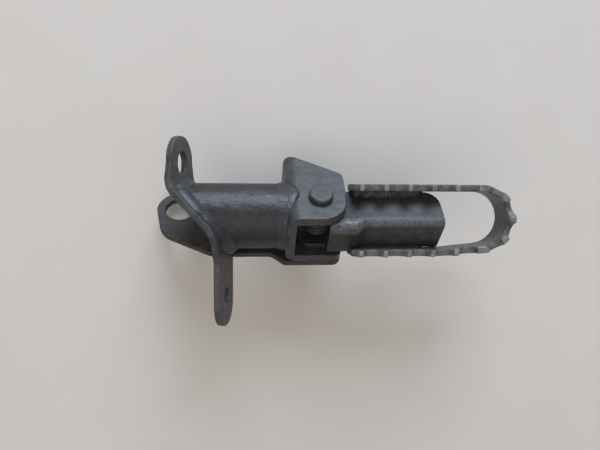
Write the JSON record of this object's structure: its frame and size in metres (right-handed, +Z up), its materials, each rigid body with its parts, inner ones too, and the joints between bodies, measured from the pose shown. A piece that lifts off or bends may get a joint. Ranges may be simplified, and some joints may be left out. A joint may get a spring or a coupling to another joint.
{
  "type": "motorcycle footpeg",
  "caption": "Folding motorcycle footpeg: toothed tread loop on a steel channel, hinged by a leaning pin in a clevis on a short tube with a bolt-on flange and a stay.",
  "frame": {"origin": "centre of the front bolt hole on the inboard face of the flange", "axes": "+X outboard along the peg, +Y forward on the motorcycle, +Z up out of the tread's teeth"},
  "size_m": [0.1828, 0.0939, 0.0604],
  "materials": {
    "bracket_paint": "satin black paint, worn",
    "weld_paint": "satin black paint over weld beads",
    "peg_paint": "satin black paint, worn on the teeth",
    "pin_paint": "satin black paint",
    "plated_steel": "dull zinc plate",
    "spring_steel": "oiled spring steel"
  },
  "bodies": {
    "bracket": {"flange_plate": "bracket_paint", "stub_tube": "bracket_paint", "clevis_bracket": "bracket_paint", "stay_plate": "bracket_paint", "flange_weld": "weld_paint", "clevis_weld": "weld_paint", "stay_weld": "weld_paint", "pivot_pin": "pin_paint", "pin_washer": "plated_steel", "split_pin": "plated_steel", "return_spring": "spring_steel"},
    "peg": {"peg_channel": "peg_paint", "tread_loop": "peg_paint", "front_tread_weld": "weld_paint", "rear_tread_weld": "weld_paint"}
  },
  "joints": [
    {"name": "fold", "type": "hinge", "parent": "bracket", "child": "peg", "pos_m": [0.0705, -0.02777, 0.00177], "axis": [0, -0.7071, -0.7071], "range_deg": [0, 62], "stiffness_Nm_per_rad": 0.2, "springref_deg": -28.65, "deforming": ["return_spring"]}
  ]
}
